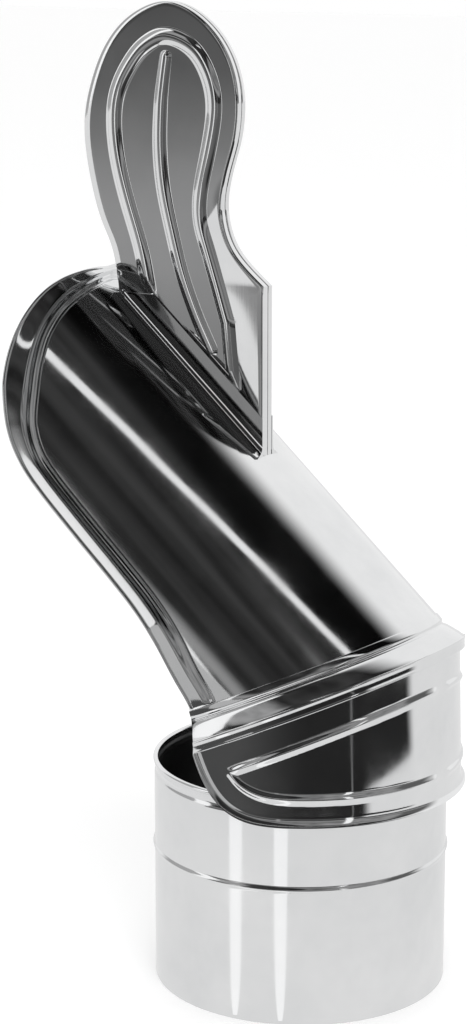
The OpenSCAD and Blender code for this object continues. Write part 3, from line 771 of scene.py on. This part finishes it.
ALONG_BAR, ROUND_ROD = (1, 0.03, 1), (0.08, 0.08, 1)
bar_dark, bar_light = (0.42, 0.43, 0.44), (0.62, 0.63, 0.64)
rod_dark, rod_light = (0.45, 0.46, 0.47), (0.66, 0.67, 0.68)
bronze_dark, bronze_light = (0.42, 0.25, 0.10), (0.62, 0.40, 0.19)
bar_steel = satin("satin bars", bar_dark, bar_light, ALONG_BAR, (0.28, 0.42))
rod_steel = satin("turned rods", rod_dark, rod_light, ROUND_ROD, (0.22, 0.36))
bush_bronze = satin("bronze bushes", bronze_dark, bronze_light, ROUND_ROD, (0.25, 0.4))
turned = ("spindle", "bearing", "thrust", "nut", "washer")
finish = {name: bar_steel for name in nodes if "bridge" in name}
finish.update({name: rod_steel for name in nodes if any(word in name for word in turned)})
finish.update({name: bush_bronze for name in nodes if "bush" in name})
for name, material in finish.items():
    for material_slot in nodes[name].material_slots:
        material_slot.material = material
print("finished CAD nodes:", len(finish))

# %% [markdown]
# ## Floor, surroundings and camera
# A mirror has no look of its own: it shows what stands round it. The photograph's studio was a
# white table and back wall, with the dark room behind the camera and a long lamp overhead. The
# world and the floor show white to the camera, and only to reflections they show the dark room.

# %% Directions of the photograph
VIEW = math.radians(32.7)
PITCH = math.radians(13)
right = np.array([math.cos(VIEW), math.sin(VIEW), 0])
ahead = np.array([-math.sin(VIEW), math.cos(VIEW), 0])


def direction(azimuth, height=0):
    """Unit vector at azimuth degrees from the picture's right to its back, raised by height."""
    a, h = math.radians(azimuth), math.radians(height)
    flat = right * math.cos(a) + ahead * math.sin(a)
    return flat * math.cos(h) + np.array([0, 0, math.sin(h)])


# %% Camera
FOCAL_PIXELS, PICTURE_HEIGHT, SENSOR = 2570, 1024, 36
CAMERA_RIGHT, CAMERA_AHEAD, CAMERA_UP = -0.0345, -1.25775, 0.534
camera_data = bpy.data.cameras.new("camera")
camera_data.lens = FOCAL_PIXELS / PICTURE_HEIGHT * SENSOR
camera_data.clip_end = 50
camera = bpy.data.objects.new("camera", camera_data)
place = CAMERA_RIGHT * right + CAMERA_AHEAD * ahead + np.array([0, 0, CAMERA_UP])
camera.location = place.tolist()
camera.rotation_euler = (math.pi / 2 - PITCH, 0, VIEW)
bpy.context.scene.collection.objects.link(camera)
bpy.context.scene.camera = camera


# %% Shader sums
def math_node(tree, operation, a, b):
    """One arithmetic node; a and b are sockets or numbers."""
    node = add_node(tree, "ShaderNodeMath", operation=operation)
    for socket, value in zip(node.inputs, (a, b)):
        if isinstance(value, (int, float)):
            socket.default_value = value
        else:
            tree.links.new(value, socket)
    return node.outputs[0]


def product(tree, *parts):
    """The parts multiplied one after the other."""
    result = parts[0]
    for part in parts[1:]:
        result = math_node(tree, "MULTIPLY", result, part)
    return result


def greatest(tree, *parts):
    """The greatest of the parts, so that overlapping lights don't add up."""
    result = parts[0]
    for part in parts[1:]:
        result = math_node(tree, "MAXIMUM", result, part)
    return result


def mixed(tree, share, a, b):
    """a where share is 1 and b where it is 0: share x a + (1 - share) x b."""
    rest = math_node(tree, "SUBTRACT", 1.0, share)
    return math_node(tree, "ADD", product(tree, share, a), product(tree, rest, b))


def along_vector(tree, source, vector):
    """Dot product of a vector socket with a fixed vector."""
    node = add_node(tree, "ShaderNodeVectorMath", operation="DOT_PRODUCT")
    tree.links.new(source, node.inputs[0])
    node.inputs[1].default_value = tuple(vector)
    return node.outputs["Value"]


def soft_step(tree, source, low, high, a, b):
    """Smooth change from a to b while source goes from low to high."""
    node = add_node(tree, "ShaderNodeMapRange", interpolation_type="SMOOTHSTEP")
    tree.links.new(source, node.inputs["Value"])
    node.inputs["From Min"].default_value = low
    node.inputs["From Max"].default_value = high
    node.inputs["To Min"].default_value = a
    node.inputs["To Max"].default_value = b
    return node.outputs["Result"]


def turn_step(tree, azimuth, low, high, a, b):
    """A soft step over an azimuth, with its two ends in degrees."""
    return soft_step(tree, azimuth, math.radians(low), math.radians(high), a, b)


# %% World
world = bpy.data.worlds.new("studio")
bpy.context.scene.world = world
world.use_nodes = True
tree = world.node_tree
background = tree.nodes["Background"]
rays = add_node(tree, "ShaderNodeLightPath")
toward = add_node(tree, "ShaderNodeTexCoord").outputs["Generated"]
back_part = along_vector(tree, toward, ahead)
right_part = along_vector(tree, toward, right)
height_part = along_vector(tree, toward, (0, 0, 1))
azimuth = math_node(tree, "ARCTAN2", back_part, right_part)
cloud = add_node(tree, "ShaderNodeTexNoise", Scale=5.0, Detail=2.0)
tree.links.new(toward, cloud.inputs["Vector"])
# Each light of the mirrored room fades in and out over azimuth or height.
wisps = ramp(tree, cloud.outputs["Fac"], 0.35, 0.65, 0.5, 1.5)
patches = ramp(tree, cloud.outputs["Fac"], 0.35, 0.65, 0.6, 1.4)
dark_room = product(tree, soft_step(tree, right_part, 0.15, 0.33, 0.03, 0.002), wisps)
white_wall = product(
    tree,
    soft_step(tree, back_part, 0.0, 0.36, 0.0, 0.95),
    soft_step(tree, azimuth, 2.35, 2.6, 1.0, 0.42),
)
right_grey = product(
    tree,
    turn_step(tree, azimuth, -45, -15, 0.0, 0.12),
    soft_step(tree, height_part, 0.5, 0.6, 1.0, 0.0),
)
slant = math_node(tree, "SUBTRACT", azimuth, product(tree, height_part, 1.1))
front_grey = product(
    tree,
    turn_step(tree, slant, -135.5, -131, 0.0, 1.0),
    turn_step(tree, azimuth, -20, 0, 1.0, 0.0),
)
left_grey = product(
    tree,
    turn_step(tree, azimuth, -142, -136, 1.2, 0.0),
    soft_step(tree, height_part, 0.3, 0.4, 0.0, 1.0),
)
walls = product(
    tree,
    greatest(tree, front_grey, left_grey),
    patches,
    soft_step(tree, height_part, 0.14, 0.22, 0.0, 1.0),
    soft_step(tree, height_part, 0.7, 0.8, 0.23, 0.0),
)
window_sides = greatest(
    tree,
    turn_step(tree, azimuth, -165.2, -164.4, 1.0, 0.0),
    soft_step(tree, azimuth, 2.6, 2.65, 0.0, 0.38),
)
window = product(tree, window_sides, soft_step(tree, height_part, 0.82, 0.86, 1.1, 0.0))
glow = product(
    tree,
    soft_step(tree, height_part, 0.04, 0.1, 0.0, 0.3),
    soft_step(tree, height_part, 0.12, 0.24, 1.0, 0.0),
)
horizon = product(
    tree,
    soft_step(tree, height_part, -0.01, 0.06, 0.07, 0.0),
    soft_step(tree, right_part, -0.75, -0.6, 1.0, 0.0),
)
mirrored = greatest(tree, dark_room, white_wall, right_grey, walls, window, glow, horizon)
shown = greatest(tree, rays.outputs["Is Camera Ray"], 0.85)
either = add_node(tree, "ShaderNodeMix", data_type="FLOAT")
tree.links.new(rays.outputs["Is Glossy Ray"], either.inputs[0])
tree.links.new(shown, either.inputs[2])
tree.links.new(mirrored, either.inputs[3])
tree.links.new(either.outputs[0], background.inputs["Strength"])
background.inputs["Color"].default_value = (1, 1, 1, 1)

# %% Floor
floor_mesh = bpy.data.meshes.new("floor")
reach = 12.0
corners = [(-reach, -reach, 0), (reach, -reach, 0), (reach, reach, 0), (-reach, reach, 0)]
floor_mesh.from_pydata(corners, [], [(0, 1, 2, 3)])
floor = bpy.data.objects.new("floor", floor_mesh)
bpy.context.scene.collection.objects.link(floor)
paper = bpy.data.materials.new("white table")
paper.use_nodes = True
floor_mesh.materials.append(paper)
tree = paper.node_tree
plain = tree.nodes["Principled BSDF"]
plain.inputs["Base Color"].default_value = (0.93, 0.93, 0.93, 1)
plain.inputs["Roughness"].default_value = 0.6
plain.inputs["Specular IOR Level"].default_value = 0.2
place = add_node(tree, "ShaderNodeTexCoord").outputs["Object"]
flat = add_node(tree, "ShaderNodeVectorMath", operation="MULTIPLY")
tree.links.new(place, flat.inputs[0])
flat.inputs[1].default_value = (1, 1, 0)
length = add_node(tree, "ShaderNodeVectorMath", operation="LENGTH")
tree.links.new(flat.outputs["Vector"], length.inputs[0])
distance = length.outputs["Value"]
azimuth = math_node(
    tree,
    "ARCTAN2",
    along_vector(tree, flat.outputs["Vector"], ahead),
    along_vector(tree, flat.outputs["Vector"], right),
)
# In reflections the table is white, with a dark front part that the card's light grades.
wing = product(
    tree,
    soft_step(tree, distance, 0.50, 0.54, 0.0, 0.62),
    soft_step(tree, distance, 0.8, 0.9, 1.0, 0.0),
)
front = product(
    tree,
    turn_step(tree, azimuth, -165.2, -164.2, 0.0, 1.0),
    turn_step(tree, math_node(tree, "SUBTRACT", azimuth, wing), -52, -44, 1.0, 0.0),
)
dark_part = product(tree, front, soft_step(tree, distance, 0.405, 0.42, 0, 1))
left_side = turn_step(tree, azimuth, -150, -143, 1.0, 0.0)
near_card = turn_step(tree, azimuth, -140, -85, 0.075, 0.02)
far_light = product(
    tree,
    soft_step(tree, distance, 0.8, 1.2, 0.0, 0.24),
    soft_step(tree, distance, 3.0, 9.0, 0.7, 0.16),
)
light_band = product(
    tree,
    soft_step(tree, distance, 2.0, 3.0, 0.0, 0.08),
    soft_step(tree, distance, 3.5, 5.0, 1.0, 0.0),
)
left_table = math_node(tree, "ADD", far_light, light_band)
front_table = soft_step(tree, distance, 0.95, 1.3, 0.0, 0.09)
card = math_node(tree, "ADD", near_card, mixed(tree, left_side, left_table, front_table))
seen = mixed(tree, dark_part, card, 0.83)
mirror_look = add_node(tree, "ShaderNodeEmission")
tree.links.new(seen, mirror_look.inputs["Strength"])
either = add_node(tree, "ShaderNodeMixShader")
rays = add_node(tree, "ShaderNodeLightPath")
tree.links.new(rays.outputs["Is Glossy Ray"], either.inputs["Fac"])
lift = add_node(tree, "ShaderNodeEmission")
tree.links.new(product(tree, rays.outputs["Is Camera Ray"], 0.2), lift.inputs["Strength"])
table_look = add_node(tree, "ShaderNodeAddShader")
tree.links.new(plain.outputs["BSDF"], table_look.inputs[0])
tree.links.new(lift.outputs["Emission"], table_look.inputs[1])
tree.links.new(table_look.outputs["Shader"], either.inputs[1])
tree.links.new(mirror_look.outputs["Emission"], either.inputs[2])
tree.links.new(either.outputs["Shader"], tree.nodes["Material Output"].inputs["Surface"])


# %% Lamps that only the mirror sees
MIDDLE = np.array([0, 0, 0.25])


def strip_lamp(name, points, strength):
    """A glowing four-cornered strip that shows only in reflections."""
    mesh = bpy.data.meshes.new(name)
    mesh.from_pydata([tuple(p) for p in points], [], [(0, 1, 2, 3)])
    lamp = bpy.data.objects.new(name, mesh)
    bpy.context.scene.collection.objects.link(lamp)
    glow_material = bpy.data.materials.new(name)
    glow_material.use_nodes = True
    glow_tree = glow_material.node_tree
    glow_tree.nodes.remove(glow_tree.nodes["Principled BSDF"])
    emission = add_node(glow_tree, "ShaderNodeEmission")
    depth = add_node(glow_tree, "ShaderNodeLightPath").outputs["Ray Depth"]
    first = math_node(glow_tree, "LESS_THAN", depth, 1.5)
    glow_tree.links.new(product(glow_tree, first, strength), emission.inputs["Strength"])
    glow_tree.links.new(emission.outputs[0], glow_tree.nodes["Material Output"].inputs["Surface"])
    mesh.materials.append(glow_material)
    lamp.visible_camera = False
    lamp.visible_diffuse = False
    lamp.visible_shadow = False
    lamp.visible_transmission = False


def overhead_strip(name, centre, along, width, length, strength):
    """A strip square to the line from the object, centred on centre, running along a direction."""
    along = unit(np.array(along))
    across = unit(np.cross(unit(centre - MIDDLE), along))
    a, b = along * length / 2, across * width / 2
    corners = [centre - a - b, centre + a - b, centre + a + b, centre - a + b]
    strip_lamp(name, corners, strength)


def floor_wedge(name, start, azimuth, length, width, strength):
    """A wedge on the table that starts at a point and widens to width on each side."""
    d, side = direction(azimuth) * length, direction(azimuth + 90) * width
    start = np.array([start[0], start[1], 0.002])
    tip = direction(azimuth + 90) * 0.001
    corners = [start - tip, start + d - side, start + d + side, start + tip]
    strip_lamp(name, corners, strength)


def standing_strip(name, azimuth, distance, low, high, width, strength):
    """An upright strip at a distance from the object, between two heights."""
    d, side = direction(azimuth) * distance, direction(azimuth + 90) * width
    foot, head = np.array([0, 0, low]), np.array([0, 0, high])
    corners = [d - side + foot, d + side + foot, d + side + head, d - side + head]
    strip_lamp(name, corners, strength)


centre = direction(-80, 58) * 1.6 + MIDDLE
overhead_strip("long lamp", centre, direction(10), 0.09, 1.5, 0.95)
standing_strip("left strip", -141, 2.4, 0.01, 1.1, 0.2, 0.95)
standing_strip("front strip", -106, 2.4, 0.01, 0.6, 0.05, 0.35)
standing_strip("right strip", -59, 1.2, 0.01, 0.85, 0.05, 1.1)
standing_strip("left board", -136, 0.7, 0.03, 0.2, 0.12, 0.5)
pipe_lines = [("pipe line left", -84, -143), ("pipe line middle", -66, -106.5)]
for name, angle, toward_azimuth in pipe_lines:
    foot = round_point(angle, PIPE_R, 0) / 1000
    floor_wedge(name, foot, toward_azimuth, 0.3, 0.032, 1.1)
floor_wedge("skirt line", direction(-58) * 0.37, -58, 0.4, 0.009, 0.2)


# %% Soft lamps for the table
def soft_lamp(name, place, aim, size, power):
    """A large square lamp that points at aim and isn't seen in the mirror."""
    data = bpy.data.lights.new(name, "AREA")
    data.shape = "SQUARE"
    data.size = size
    data.energy = power
    lamp = bpy.data.objects.new(name, data)
    lamp.location = place
    away = np.array(place) - np.array(aim)
    lamp.rotation_euler = (
        math.atan2(math.hypot(away[0], away[1]), away[2]),
        0,
        math.atan2(away[0], -away[1]),
    )
    lamp.visible_glossy = False
    lamp.visible_camera = False
    bpy.context.scene.collection.objects.link(lamp)


soft_lamp("key", (1.2, -1.4, 2.2), (0, 0, 0.2), 1.6, 30)

# %% [markdown]
# ## Finish
# The view transform is Standard, so that a colour is shown as it is written.

# %% View transform and sizes
bpy.context.scene.view_settings.view_transform = "Standard"
